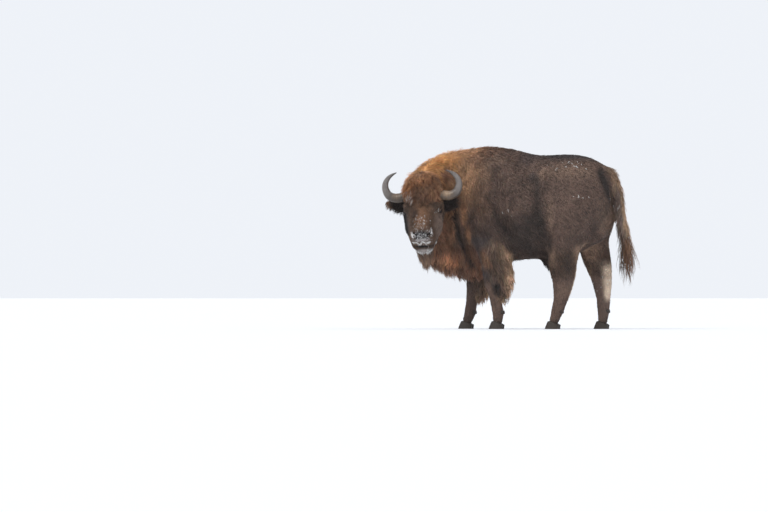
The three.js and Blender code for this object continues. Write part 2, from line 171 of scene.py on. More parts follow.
# Nodes, depth of the coat over the skin, length, width, lift (degrees), droop and curl (0-1) of the tufts,
# layers of overlap, the shares of "away from the head" and "down" in the lie of the hair, and its colour.
REGIONS = {
    "neck": (["neck"], 0.021, 0.074, 0.0047, 24, 0.35, 0.7, 3.2, 0.6, 1, CHESTNUT),
    "fore": (["forequarters"], 0.01, 0.052, 0.0058, 17, 0.25, 0.4, 2.5, 0.55, 1, UMBER),
    "barrel": (["barrel"], 0.008, 0.036, 0.0056, 13, 0.15, 0.25, 2.3, 0.75, 0.75, UMBER),
    "hind": (["hindquarters"], 0.006, 0.031, 0.0054, 12, 0.1, 0.2, 1.5, 0.7, 0.8, UMBER),
    "chest": (["chest_mane"], 0.03, 0.098, 0.0058, 24, 0.7, 0.65, 5.3, 0.25, 1, RUST),
    "face": (["head"], 0.006, 0.024, 0.0034, 20, 0.25, 0.45, 1.75, 0.1, 1, COCOA),
    "muzzle": (["muzzle"], 0.0015, 0.012, 0.0024, 16, 0.1, 0, 1.9, 0, 1, COCOA),
    "jaw": (["lower_jaw"], 0.003, 0.018, 0.0028, 20, 0.5, 0.2, 2.2, 0.2, 1, COCOA),
    "forelock": (["forelock"], 0.024, 0.08, 0.0046, 33, 0.45, 0.9, 7.1, 0.1, 1, CHESTNUT),
    "beard": (["beard"], 0.02, 0.085, 0.0046, 20, 0.8, 0.45, 8, 0, 1, DUN),
    "arm": (both("foreleg_{}_forearm"), 0.009, 0.036, 0.0054, 16, 0.4, 0.4, 2.6, 0.1, 1, SLATE * 1.05),
    "chaps": (both("foreleg_{}_chaps"), 0.024, 0.088, 0.0058, 23, 0.6, 0.6, 4.4, 0.25, 1, FAWN),
    "thigh": (both("hindleg_{}_thigh"), 0.005, 0.032, 0.0054, 13, 0.3, 0.22, 2, 0.2, 1, UMBER),
    "shank": (both("hindleg_{}_shank"), 0.003, 0.034, 0.0052, 17, 0.4, 0.3, 2.4, 0.1, 1, COCOA),
    "cannon": (
        [f"{leg}_{part}" for leg in LEGS for part in ("cannon", "pastern")],
        0.002, 0.022, 0.0044, 13, 0.3, 0.15, 1.15, 0.05, 1, UMBER,
    ),
    "sheath": (["sheath_tuft"], 0.012, 0.08, 0.0055, 18, 0.8, 0.5, 8, 0, 1, SOOT),
    "dock": (["tail_dock"], 0.01, 0.085, 0.0044, 20, 0.65, 0.35, 4.6, 0, 1, BARK * 1.3),
    "tassel": (["tail_tuft"], 0.031, 0.19, 0.0042, 24, 0.75, 0.6, 3.9, 0, 1, CHESTNUT * 0.75),
    "ear": ([], 0, 0.046, 0.004, 24, 0.7, 0.5, 2.6, 0, 1, SOOT * 0.9),
    "hoof": (
        [f"{leg}_claw_{side}" for leg in LEGS for side in ("inner", "outer")],
        0.014, 0.006, 0.003, 5, 0, 0, 0, 0, 1, INK,
    ),
}
NAMES = list(REGIONS)
TABLE = np.array([row[1:-1] for row in REGIONS.values()])
COVER, LENGTH, WIDTH, LIFT, DROOP, CURL, LAYERS, AWAY, DOWN = range(TABLE.shape[1])
FLESH = [n for row in REGIONS.values() for n in row[0] if "claw" not in n] + both("ear_{}")


# ---------------- meshes
def read(items, key, width=3, kind=np.float32):
    """One property of a mesh's items, as rows."""
    values = np.empty(len(items) * width, kind)
    items.foreach_get(key, values)
    return values.reshape(-1, width)


def write(items, key, values, kind=np.float32):
    items.foreach_set(key, np.asarray(values).astype(kind).ravel())


def corners_of(mesh):
    """The vertices of a mesh's triangles."""
    mesh.calc_loop_triangles()
    return read(mesh.loop_triangles, "vertices", kind=np.int32)


def arrays(mesh):
    """Points, triangles and smooth normals of a mesh."""
    triangles = corners_of(mesh)
    return read(mesh.vertices, "co").astype(float), triangles, read(mesh.vertices, "normal").astype(float)


def set_points(mesh, points):
    write(mesh.vertices, "co", points)
    mesh.update()


def paint(mesh, colours):
    """Stores a colour for every vertex."""
    full = np.ones((len(mesh.vertices), 4), np.float32)
    full[:, :3] = np.clip(colours, 0, 1).reshape(-1, 3)
    write(mesh.color_attributes.new("coat", "FLOAT_COLOR", "POINT").data, "color", full)


@contextmanager
def editing(mesh):
    """A bmesh of a mesh, written back in the end."""
    work = bmesh.new()
    work.from_mesh(mesh)
    yield work
    work.to_mesh(mesh)
    work.free()
    mesh.update()


def finished(mesh):
    """Turns all faces outwards and shades them smooth."""
    with editing(mesh) as work:
        bmesh.ops.recalc_face_normals(work, faces=work.faces[:])
    write(mesh.polygons, "use_smooth", np.ones(len(mesh.polygons)), bool)
    mesh.update()
    return mesh


def tube_faces(rings, sides, flip=False, loop=False):
    """Faces of a tube of rings, its ends closed by one face each, or joined into a loop."""
    faces = []
    for i in range(rings if loop else rings - 1):
        low, high = i * sides, (i + 1) % rings * sides
        for j in range(sides):
            k = (j + 1) % sides
            faces.append((low + j, low + k, high + k, high + j))
    if not loop:
        faces.append(tuple(range(sides))[::-1])
        faces.append(tuple((rings - 1) * sides + j for j in range(sides)))
    return [f[::-1] for f in faces] if flip else faces


def solid(name, points, faces):
    mesh = bpy.data.meshes.new(name)
    mesh.from_pydata(points.tolist(), [], faces)
    mesh.update()
    return mesh


def tube(name, points, matrix=None, flip=False):
    """A closed and smooth solid through rings of points, which may be in the frame of a matrix."""
    rings, sides = points.shape[:2]
    points = points.reshape(-1, 3)
    points = points if matrix is None else from_frame(matrix, points)
    return finished(solid(name, points, tube_faces(rings, sides, flip)))


# ---------------- skin
def node_shell(names):
    """Points and triangles of several frame nodes together."""
    points, triangles, start = [], [], 0
    for name in names:
        mesh = NODES[name].data
        points.append(read(mesh.vertices, "co"))
        triangles.append(corners_of(mesh) + start)
        start += len(mesh.vertices)
    return np.concatenate(points), np.concatenate(triangles).astype(np.uint32)


def blurred(field, rounds):
    """Repeated three-point averaging along every axis."""
    for _ in range(rounds):
        for axis in range(3):
            field = 0.5 * field + 0.25 * (np.roll(field, 1, axis) + np.roll(field, -1, axis))
    return field


def distance(points, faces, inside=3.0, kind="triangles"):
    """Signed distance to a closed shell on the grid, cut off 3 voxels outside it and some inside."""
    bands = {"exBandWidth": 3.0, "inBandWidth": inside, "transform": GRID_STEP}
    level = openvdb.FloatGrid.createLevelSetFromPolygons(points, **bands, **{kind: faces})
    field = np.empty(GRID_SHAPE, np.float32)
    level.copyToArray(field, ijk=GRID_START)
    return field


def surface(field, height=0.0):
    """Points and quads where a field on the grid has one value."""
    level = openvdb.FloatGrid(float(field.max()))
    level.transform = GRID_STEP
    level.copyFromArray(np.ascontiguousarray(field), ijk=GRID_START)
    points, _, quads = level.convertToPolygons(isovalue=height, adaptivity=0.0)
    return points, quads


def skin_surface():
    """The flesh and hair volumes as one closed shell, drawn in by each region's coat depth."""
    parts = {name: row[0] for name, row in REGIONS.items() if row[0]}
    whole = distance(*node_shell(sum(parts.values(), [])))
    closing = 0.5 * VOXEL
    closed = distance(*surface(whole, closing), 12.0, "quads") + closing
    depth, held = np.zeros((2, *GRID_SHAPE), np.float32)
    for name, nodes in parts.items():
        within = distance(*node_shell(nodes)) < 0
        depth[within] = TABLE[NAMES.index(name), COVER]
        held[within] = 1
    depth = blurred(depth, 9) / np.maximum(blurred(held, 9), 1e-3)
    return surface(blurred(closed, 3) + depth)


def neighbours(mesh, most=8):
    """For each vertex, the vertices joined to it by an edge, filled up with itself."""
    edges = read(mesh.edges, "vertices", 2, np.int32)
    ends = np.concatenate([edges, edges[:, ::-1]])
    ends = ends[np.argsort(ends[:, 0], kind="stable")]
    first = np.searchsorted(ends[:, 0], np.arange(len(mesh.vertices)))
    rank = np.arange(len(ends)) - first[ends[:, 0]]
    keep = rank < most
    table = np.repeat(np.arange(len(mesh.vertices))[:, None], most, 1)
    table[ends[keep, 0], rank[keep]] = ends[keep, 1]
    return table


def spread(values, table, rounds):
    """Averages values with those of neighbouring vertices."""
    for _ in range(rounds):
        values = 0.5 * values + 0.5 * values[table].mean(1)
    return values


def relax(mesh, rounds, weight=1.0):
    """Evens a mesh without shrinking it, by turns in and out."""
    table = neighbours(mesh)
    points = arrays(mesh)[0]
    for _ in range(rounds):
        for push in (0.6, -0.62):
            points = points + push * weight * (points[table].mean(1) - points)
    set_points(mesh, points)


def soften(mesh):
    """Melts the joints between trunk and limbs."""
    points = arrays(mesh)[0]
    aside, y, z = body_place(points).T
    low = 0.66 - 0.10 * ramp(0.40, 0.50, y)
    where = ramp(low, low + 0.15, z) * ramp(0.50, 0.56, np.linalg.norm(points - HEAD_AT, axis=1))
    where = (where * (1 - ramp(0.84, 0.90, y) * (aside < 0.09)))[:, None]
    table = neighbours(mesh)
    for _ in range(40):
        points = points + 0.5 * where * (points[table].mean(1) - points)
    set_points(mesh, points)
    set_points(mesh, points + 0.008 * where * arrays(mesh)[2])


def refine(mesh, inside):
    """Cuts in half every edge whose ends both satisfy a test, and rounds the result."""
    chosen = inside(arrays(mesh)[0])
    with editing(mesh) as work:
        work.verts.ensure_lookup_table()
        edges = [e for e in work.edges if chosen[e.verts[0].index] and chosen[e.verts[1].index]]
        bmesh.ops.subdivide_edges(work, edges=edges, cuts=1, use_grid_fill=True)
    relax(mesh, 2, inside(arrays(mesh)[0]).astype(float)[:, None])


# ---------------- head
EYE = {"at": (0.163, -0.152, -0.074), "radius": 0.022, "wide": 0.0212, "high": 0.0165}
NOSTRIL = {"at": (0.073, -0.458, -0.106), "wide": 0.022, "high": 0.013, "deep": 0.026}
MOUTH = -0.236  # height of the line between the lips, in the tipped frame
EAR_RINGS, EAR_SIDES = 26, 20
# Swellings and hollows of both sides of the face in the tipped frame: place, size, height.
FACE_FORMS = [
    ((0.165, -0.118, -0.026), (0.07, 0.06, 0.034), 0.012),  # brow
    ((0.172, -0.2, -0.1), (0.05, 0.042, 0.03), -0.007),  # corner before the eye
    ((0.178, -0.15, -0.118), (0.06, 0.07, 0.024), 0.005),  # bag under the eye
    ((0.15, -0.25, -0.2), (0.08, 0.13, 0.03), 0.005),  # ridge of the cheek
    ((0.118, -0.4, -0.19), (0.06, 0.08, 0.05), 0.008),  # fold of the upper lip
    ((0.078, -0.448, -0.076), (0.046, 0.045, 0.03), 0.009),  # wing over the nostril
    ((0.06, -0.462, -0.15), (0.07, 0.05, 0.03), 0.004),  # lip beneath the nostril
]


def head_part(points):
    """Which points belong to the part of the head that shows."""
    aside, y, z = head_place(points).T
    return (-y > 0.02) & (-y < HEAD_LONG) & (aside < HEAD_HALF) & (np.abs(z + 0.14) < 0.30)


def eye_part(points, reach):
    return np.linalg.norm(head_place(points) - EYE["at"], axis=1) < reach


def fine_part(points):
    """Muzzle and surroundings of the eyes."""
    aside, y, z = head_place(points).T
    return (-y > 0.385) & (np.abs(z + 0.18) < 0.20) & (aside < 0.16) | eye_part(points, 0.056)


def finest_part(points):
    """Nose, lips and lids."""
    _, y, z = head_place(points).T
    return eye_part(points, 0.048) | (-y > 0.40) & (np.abs(z + 0.16) < 0.13)


def sculpt_face(mesh):
    """Brows, nostrils, lips and the sockets of the eyes."""
    points, _, normals = arrays(mesh)
    local = to_frame(TIPPED, points)
    out = normals @ np.array(TIPPED.inverted())[:3, :3].T
    sides = (local, local * (-1, 1, 1))
    move = sum(high * falloff(own, at, size) for at, size, high in FACE_FORMS for own in sides)
    # the groove between the lips, drooping towards its corners
    x, forward, z = local[:, 0], -local[:, 1], local[:, 2]
    line = MOUTH + 0.010 * np.cos(np.clip(np.abs(x) / 0.11, 0, 1) * pi) - 0.006
    reach = ramp(0.300, 0.345, forward) * (z < -0.15) * (np.abs(x) < 0.2)
    move = move - 0.011 * reach * bell(z - line, 0.0045)
    move = move + 0.004 * reach * bell(z - line - 0.018, 0.010)
    move = move + 0.004 * reach * bell(z - line + 0.020, 0.012)
    # the furrow down the middle of the nose
    front = ramp(0.43, 0.46, forward)
    move = move - 0.004 * front * bell(x, 0.004) * ramp(-0.225, -0.19, z) * (forward < HEAD_LONG)
    for side in (1, -1):
        # the nostril is a comma that opens outwards and up
        across, up = side * x - NOSTRIL["at"][0], z - NOSTRIL["at"][2]
        across, up = across + 0.35 * up, up - 0.35 * across
        near = (forward > 0.38) & (side * x > 0.02)
        shape = (across / NOSTRIL["wide"]) ** 2 + (up / NOSTRIL["high"]) ** 2
        move = move - near * NOSTRIL["deep"] * np.clip(1 - shape, 0, 1) ** 0.7
    local = local + out * move[:, None]
    for side in (1, -1):
        local = set_lids(local, side)
    set_points(mesh, from_frame(TIPPED, local))


def eye_axes(side):
    """Centre and outward, forward and upward axes of an eye in the tipped frame."""
    outward = unit(np.array([side * 0.78, -0.58, 0.20]))
    forward = unit(np.cross(outward, (0.0, 0.10, 1.0)) * -side)
    upward = np.cross(outward, forward)
    return np.array([side, 1, 1]) * EYE["at"], outward, forward, upward * np.sign(upward[2])


def set_lids(local, side):
    """Closes the skin round the eyeball to an almond, with a thick upper lid."""
    centre, outward, forward, upward = eye_axes(side)
    away = local - centre
    a, f, u = away @ outward, away @ forward, away @ upward
    radius = np.hypot(f, u)
    near = (a > -0.004) & (a < 0.09) & (radius < 0.075)
    ring = np.hypot(f / EYE["wide"], (u + 0.0015) / EYE["high"])
    ball = EYE["radius"]
    thick = 0.0034 + 0.0016 * (u > 0)
    lid, hidden = (np.sqrt(np.clip(r * r - radius * radius, 0, None)) for r in (ball + thick, ball))
    settle = ramp(1.15, 2.6, ring)
    height = np.where(ring < 1, hidden - 0.006, (1 - settle) * np.maximum(lid, a - 0.004) + settle * a)
    fold = 0.0035 * bell(ring - 1.75, 0.16) + 0.002 * bell(ring - 2.35, 0.14)
    height = height - fold * (ring > 1)
    return local + np.where(near, height - a, 0.0)[:, None] * outward


def ear_shell(side):
    """A cupped leaf that stands out sideways from the head, as a closed tube."""
    t = np.linspace(0, 1, EAR_RINGS)[:, None]
    angle = circle(EAR_SIDES)[None, :]
    half = 0.060 * (0.66 + 1.4 * t - 1.70 * t**2) * np.sqrt(np.clip((1.02 - t) / 0.16, 0, 1))
    thick = 0.008 * (1.7 - 1.2 * t)
    bend = 0.028 * np.sin(pi * np.clip((t - 0.12) / 0.9, 0, 1)) * (np.cos(angle) ** 2 - 0.5)
    x = side * (0.160 - 0.03 + 0.230 * t + 0 * angle)
    y = 0.092 + thick * np.sin(angle) - bend
    z = -0.098 - 0.006 + 0.052 * t - 0.006 * np.sin(pi * t) + half * np.cos(angle)
    points = np.stack([x, y, z], axis=-1).reshape(-1, 3)
    return from_frame(POISE, points), tube_faces(EAR_RINGS, EAR_SIDES, flip=side < 0)


def lid_rim(side, rings=48, sides=8):
    """The wet edge of the lids round an eye, as a closed loop, thicker above."""
    centre, outward, forward, upward = eye_axes(side)
    angle = circle(rings)
    f = (EYE["wide"] + 0.0004) * np.cos(angle)
    u = (EYE["high"] + 0.0004) * np.sin(angle) * (1 - 0.12 * np.cos(angle) ** 2) - 0.0015
    a = np.sqrt(np.clip((EYE["radius"] + 0.0010) ** 2 - f * f - u * u, 0, None))
    path = centre + a[:, None] * outward + f[:, None] * forward + u[:, None] * upward
    out = unit(path - centre)
    over = np.cross(unit(np.roll(path, -1, 0) - np.roll(path, 1, 0)), out)
    radius = (0.0022 + 0.0012 * np.clip(np.sin(angle), 0, 1))[:, None, None]
    turn = circle(sides)[None, :, None]
    points = path[:, None] + radius * (np.cos(turn) * out[:, None] + np.sin(turn) * over[:, None])
    return from_frame(TIPPED, points.reshape(-1, 3)), tube_faces(rings, sides, loop=True)


# ---------------- markings
# Soft patches on both sides of the body: distance from the midline, y, z, their sizes, colour, strength.
BODY_MARKS = [
    ((0, -0.5, 1.72), (0.44, 0.4, 0.22), ORANGE, 0.35),  # crest of the hump
    ((0.1, -0.86, 1.6), (0.52, 0.4, 0.36), GOLD, 1.4),  # nape
    ((0, -0.62, 1.72), (0.36, 0.32, 0.14), AMBER * 1.4, 0.9),  # crest behind the nape
    ((0.3, -0.54, 1.44), (0.36, 0.34, 0.38), AMBER, 1),  # side of the neck
    ((0.34, -0.39, 1.38), (0.22, 0.13, 0.22), UMBER, 0.5),  # behind the mane
    ((0.28, -0.73, 1.49), (0.24, 0.1, 0.13), RUST * 1.1, 1.3),  # behind the left horn
    ((0.2, -0.24, 1.6), (0.26, 0.17, 0.1), FAWN * 1.4, 0.6),  # hump
    ((0.1, 0.06, 1.62), (0.3, 0.17, 0.12), SLATE * 0.9, 0.5),  # back behind the hump
    ((0.34, -0.33, 1.15), (0.22, 0.15, 0.17), CHESTNUT * 0.8, 0.5),  # point of the shoulder
    ((0.42, -0.71, 0.94), (0.28, 0.12, 0.26), RUST * 1.15, 1.3),  # neck behind the jaw
    ((0.4, -0.59, 0.83), (0.24, 0.085, 0.2), COCOA * 0.4, 1.5),  # hollow behind the jaw: darker hair with painted shade over it
    ((0.36, -0.49, 0.66), (0.24, 0.11, 0.15), COCOA * 0.55, 1.3),  # painted shade in the hollow before the foreleg
    ((0.4, -0.7, 0.67), (0.36, 0.16, 0.16), COPPER * 2, 2.8),  # mane under the throat, its copper lifted with painted light where the head shades it
    ((0.38, -0.53, 1.12), (0.24, 0.07, 0.2), CHESTNUT * 1.7, 1.7),  # lock before the shoulder
    ((0.38, -0.485, 0.89), (0.24, 0.055, 0.17), CHESTNUT * 1.8, 1.7),  # its lower part
    ((0.3, -0.32, 0.68), (0.22, 0.1, 0.15), CHESTNUT * 1.1, 1.1),  # elbow
    ((0.3, -0.13, 0.74), (0.24, 0.16, 0.12), COCOA * 0.8, 1),  # painted shade behind the elbow
    ((0.28, -0.21, 0.43), (0.22, 0.07, 0.13), NIGHT, 1.2),  # painted shade between the forearm and the hair that hangs over it
    ((0.32, -0.38, 1), (0.22, 0.22, 0.34), SOOT, 0.3),  # shoulder over the foreleg
    ((0.36, 0.06, 0.78), (0.28, 0.36, 0.3), SOOT, 1.1),  # low flank
    ((0.36, -0.03, 0.97), (0.24, 0.15, 0.2), SOOT, 0.6),  # behind the shoulder
    ((0.34, 0.14, 1.01), (0.24, 0.2, 0.22), SOOT, 0.75),  # flank
    ((0, 0.1, 0.7), (0.5, 0.6, 0.2), SOOT, 0.4),  # belly
    ((0.24, 0.5, 1.5), (0.22, 0.5, 0.12), FAWN * 1.15, 0.7),  # top of the haunch
    ((0, 0.42, 1.68), (0.34, 0.6, 0.125), SLATE * 0.65, 1.6),  # loin
    ((0.22, 0.24, 1.47), (0.2, 0.05, 0.1), FAWN * 1.5, 0.8),  # hip bone
    ((0.24, 0.14, 1.45), (0.2, 0.07, 0.09), SLATE * 0.7, 0.7),  # before the hip bone
    ((0.3, 0.48, 0.36), (0.2, 0.16, 0.14), FAWN * 1.2, 0.6),  # near hock
    ((0.3, 0.7, 1.27), (0.22, 0.15, 0.12), UMBER * 0.75, 0.6),  # back of the haunch
    ((0.34, 0.34, 1.12), (0.22, 0.07, 0.26), FAWN * 1.15, 0.6),  # front of the haunch
    ((0.34, 0.35, 0.69), (0.22, 0.08, 0.16), FAWN * 1.3, 0.8),  # front of the thigh
    ((0.3, 0.5, 0.58), (0.2, 0.06, 0.26), SOOT, 0.7),  # down the thigh
    ((0.26, 0.6, 0.57), (0.2, 0.05, 0.22), TAN, 1.3),  # back of the near shank
    ((0.16, 0.62, 0.74), (0.18, 0.14, 0.15), FAWN * 1.9, 1.5),  # back of the shank, paler hair lifted by painted light in the shade between the hind legs
    ((0.16, 0.87, 0.97), (0.26, 0.14, 0.42), FAWN * 1.35, 1),  # back of the buttock
]
# Grooves between the muscles of both flanks: their course in y and z, half width, depth, and the darkness of
# the shade painted into them.
GROOVES = [
    ([(0.19, 1.4), (0.22, 1.15), (0.245, 0.96), (0.33, 0.8)], 0.05, 0.015, 0.75),  # before the thigh
    ([(0.88, 1.24), (0.83, 1.07), (0.73, 0.94), (0.65, 0.84), (0.61, 0.8)], 0.034, 0.02, 0.6),  # thigh's rear
    ([(-0.22, 1.13), (-0.14, 1), (-0.05, 0.88)], 0.048, 0.013, 0.65),  # behind the shoulder
    ([(-0.635, 1.11), (-0.6, 0.94), (-0.565, 0.8), (-0.5, 0.66)], 0.026, 0.02, 1),  # neck's rear, darkened with painted shade in the crease behind the cheek
    ([(0.06, 0.96), (0.2, 0.86), (0.3, 0.8)], 0.04, 0.01, 0.3),  # fold of the flank
    ([(0.78, 1.5), (0.845, 1.35), (0.88, 1.21), (0.905, 1.07)], 0.026, 0.008, 1.3),  # beside the tail, darkened with the painted shadow of the gap before the buttock
]
# Muscles of both flanks: place, size, height.
MUSCLES = [
    ((0.3, 0.58, 1.25), (0.2, 0.22, 0.3), 0.014),  # haunch
    ((0.3, 0.43, 0.92), (0.15, 0.12, 0.17), 0.012),  # stifle
    ((0.3, -0.34, 1.32), (0.2, 0.14, 0.34), 0.012),  # shoulder blade
    ((0.33, -0.28, 0.98), (0.2, 0.14, 0.18), 0.013),  # upper arm
    ((0.24, 0.3, 1.5), (0.12, 0.1, 0.08), 0.014),  # hip bone
    ((0.3, 0.12, 1.4), (0.16, 0.12, 0.15), -0.014),  # hollow behind the ribs
]
# Marks of both sides of the head, in its tipped frame.
FACE_MARKS = [
    ((0, -0.24, 0), (0.14, 0.28, 0.09), CHESTNUT * 0.85, 1),  # bridge of the nose
    ((0.11, -0.13, 0.02), (0.08, 0.08, 0.09), SOOT, 0.4),  # before the horn
    ((0.18, -0.17, -0.09), (0.055, 0.08, 0.07), INK, 0.6),  # round the eye
    ((0.17, -0.28, -0.18), (0.09, 0.2, 0.22), BARK * 1.5, 1.3),  # cheek
    ((0, -0.36, -0.03), (0.11, 0.11, 0.08), CHESTNUT, 0.7),  # above the nose
    ((0, -0.47, -0.115), (0.12, 0.08, 0.085), NIGHT, 1.7),  # bare nose
    ((0, -0.47, -0.165), (0.115, 0.07, 0.03), ASH * 0.6, 1),  # upper lip
    ((0.075, -0.448, -0.106), (0.032, 0.06, 0.022), INK, 2),  # painted shade inside the nostril
    ((0, -0.42, -0.29), (0.12, 0.1, 0.045), ASH * 1.25, 1.3),  # lower lip
    ((0, -0.44, -0.24), (0.16, 0.13, 0.011), INK, 1.6),  # painted shade in the groove between the lips
]
# Painted shade on its right side only.
RIGHT_SIDE_SHADE = [
    ((-0.19, -0.24, -0.19), (0.105, 0.28, 0.24), INK, 1.6),  # cheek
    ((-0.07, -0.25, 0), (0.06, 0.11, 0.07), SOOT, 0.8),  # forehead
]


def groove_depths(points, normals):
    """How deep the flank grooves are at points, and how dark the painted shade in them is."""
    place = body_place(points)[:, 1:]
    sideways = ramp(0.10, 0.45, np.abs(normals[:, 0]))
    deep, dark = np.zeros((2, len(points)))
    for course, half, depth, shade in GROOVES:
        near = np.full(len(points), np.inf)
        for start, end in zip(np.array(course), np.array(course)[1:]):
            run = end - start
            t = np.clip((place - start) @ run / (run @ run), 0, 1)
            near = np.minimum(near, np.linalg.norm(place - start - t[:, None] * run, axis=1))
        share = bell(near, half) * sideways
        deep = np.maximum(deep, depth * share)
        dark = np.maximum(dark, shade * share)
    return deep, dark


def sculpt_body(mesh):
    """Muscles and the grooves between them."""
    points, _, normals = arrays(mesh)
    place = body_place(points)
    aside, y, _ = head_place(points).T
    off_head = 1 - ramp(-0.02, 0.05, -y) * (aside < HEAD_HALF)
    rise = sum(high * falloff(place, at, size) for at, size, high in MUSCLES)
    rise = rise - groove_depths(points, normals)[0]
    set_points(mesh, points + normals * (rise * off_head)[:, None])


def mixed(base, tone, share):
    share = np.clip(share, 0, 1)[:, None]
    return base * (1 - share) + tone * share


def marked(base, marks, places, where):
    """Colours with soft marks over them."""
    for at, size, tone, strength in marks:
        base = mixed(base, tone, strength * falloff(places, at, size) * where)
    return base


def markings(points, normals, belong, base):
    """Colour of the coat at points that belong to the regions in given shares."""
    part = lambda *names: belong[:, [NAMES.index(n) for n in names]].sum(1)
    place, level, backward = body_place(points), points[:, 2], normals[:, 1]
    head = part("face", "muzzle", "jaw", "forelock", "beard")
    body = 1 - head - part("ear", "dock", "tassel")
    base = marked(base, BODY_MARKS, place, body)
    # painted shade in the grooves between the muscles
    base = mixed(base, SOOT * 0.8, groove_depths(points, normals)[1] * body)
    # the inner sides of the legs
    inward = -np.sign(points[:, 0] - ORIGIN[0]) * normals[:, 0]
    inner = ramp(0.2, 0.7, inward) * part("shank", "cannon") * (level < 0.66)
    hind = place[:, 1] > 0.2
    base = mixed(mixed(base, SOOT, 0.4 * inner * ~hind), BARK, 0.35 * inner * hind)
    # pale backs of the hocks and cannons, and of the hair behind the forelimbs
    rear = ramp(0.55, 0.90, 0.80 * backward + 0.55 * inward) * ramp(0.24, 0.34, level)
    base = mixed(base, SAND * 1.3, 1.4 * rear * part("cannon") * hind)
    base = mixed(base, SAND * 1.2, 1.3 * rear * part("shank") * ramp(0.69, 0.54, level))
    base = mixed(base, TAN * 1.2, ramp(0.05, 0.65, backward) * part("chaps"))
    # the tail, pale behind; its lower front gets painted shade where it hangs before the buttocks
    base = mixed(base, TAN, 0.9 * ramp(0.2, 0.8, backward) * part("dock"))
    front = 0.7 * ramp(1.15, 0.90, level) * ramp(0.1, -0.6, backward)
    base = mixed(base, SOOT, front * part("dock", "tassel"))
    # the head, whose forelock has painted light towards its top and its right, and is darker in its middle
    base = marked(base, FACE_MARKS, head_place(points), head)
    own, lock = to_frame(POISE, points), part("forelock")
    base = mixed(base, ORANGE * 1.1, 0.8 * lock * ramp(0.06, 0.16, own[:, 2] - 0.6 * own[:, 0]))
    base = mixed(base, AMBER * 1.4, 0.8 * lock * ramp(0.13, 0.22, own[:, 2] - 0.25 * own[:, 0]))
    base = mixed(base, RUST * 0.55, 0.8 * lock * falloff(own, (0.0, -0.10, 0.03), (0.13, 0.2, 0.11)))
    # painted shade over the right side of the face
    base = marked(base, RIGHT_SIDE_SHADE, to_frame(TIPPED, points), part("face", "jaw"))
    return mixed(base, CHESTNUT, 0.8 * ramp(0.29, 0.35, np.abs(own[:, 0])) * part("ear"))


# ---------------- coat
class Skin:
    """The skin's triangles with all that a tuft needs to know at its root."""

    def __init__(self, mesh, ears):
        self.mesh = mesh
        self.points, self.triangles, self.normals = arrays(mesh)
        table = neighbours(mesh)
        self.label = nearest_region(self.points)
        self.label[ears] = NAMES.index("ear")
        belong = np.eye(len(NAMES))[self.label]
        self.belong = spread(belong, table, 14)
        self.belong[ears] = belong[ears]
        base = spread(belong @ np.array([row[-1] for row in REGIONS.values()]), table, 40)
        self.colours = markings(self.points, self.normals, self.belong, base)
        self.values = self.belong @ TABLE
        self.flow = self.lie(table)
        self.frost = frost_chance(self.points) * (self.label != NAMES.index("beard"))

    def lie(self, table):
        """Direction in which the hair lies, along the skin."""
        away = self.points - HEAD_AT
        away[:, 2] *= 0.3
        flow = unit(away) * self.values[:, [AWAY]] + self.values[:, [DOWN]] * (0.0, 0.15, -1.0)
        ear = self.belong[:, [NAMES.index("ear")]]
        outward = np.sign(to_frame(POISE, self.points)[:, :1]) * np.array(POISE)[:3, 0]
        flow = flow * (1 - ear) + (outward * 0.8 + (0, 0, -0.5)) * ear
        return unit(self.along(spread(self.along(flow), table, 6)))

    def along(self, ways):
        return ways - self.normals * (ways * self.normals).sum(1, keepdims=True)


def nearest_region(points):
    """Index of the region whose nodes lie nearest to each point."""
    owned = [(index, node) for index, row in enumerate(REGIONS.values()) for node in row[0]]
    shell, triangles = node_shell([node for _, node in owned])
    owner = np.repeat([i for i, _ in owned], [len(NODES[node].data.loop_triangles) for _, node in owned])
    tree = BVHTree.FromPolygons(shell.tolist(), triangles.tolist())
    return np.array([owner[tree.find_nearest(p)[2]] for p in points.tolist()])


def ripple(points, scale, seed):
    """Smooth noise from a few plane waves."""
    rng = np.random.default_rng(seed)
    ways = unit(rng.normal(size=(7, 3))) / scale
    phases = rng.uniform(0, 2 * pi, 7)
    return np.sin(points @ (ways.T * 2 * pi) + phases).sum(1) / sqrt(7)


def plant(skin, faces, rng):
    """Roots of the tufts on some of the skin's triangles, and the skin's values there."""
    first, second, third = (skin.points[skin.triangles[faces, k]] for k in range(3))
    area = 0.5 * np.linalg.norm(np.cross(second - first, third - first), axis=1)
    value = skin.values[skin.triangles[faces]].mean(1)
    want = area * value[:, LAYERS] / np.maximum(value[:, LENGTH] * value[:, WIDTH], 1e-6) * TUFT_BUDGET
    total = np.cumsum(want)
    count = int(total[-1])
    picks = (np.arange(count) + rng.uniform(0, 1, count)) / count * total[-1]
    chosen = faces[np.clip(np.searchsorted(total, picks), 0, len(faces) - 1)]
    a, b = rng.uniform(0, 1, (2, count))
    turned = a + b > 1
    a, b = np.where(turned, 1 - a, a), np.where(turned, 1 - b, b)
    shares = np.column_stack([1 - a - b, a, b])[:, :, None]
    pick = lambda values: (values[skin.triangles[chosen]] * shares).sum(1)
    return {
        "root": pick(skin.points),
        "normal": unit(pick(skin.normals)),
        "flow": unit(pick(skin.flow)),
        "value": pick(skin.values),
        "colour": pick(skin.colours),
        "iced": rng.uniform(0, 1, count) < pick(skin.frost[:, None])[:, 0],
        "label": skin.label[skin.triangles[chosen, 0]],
    }


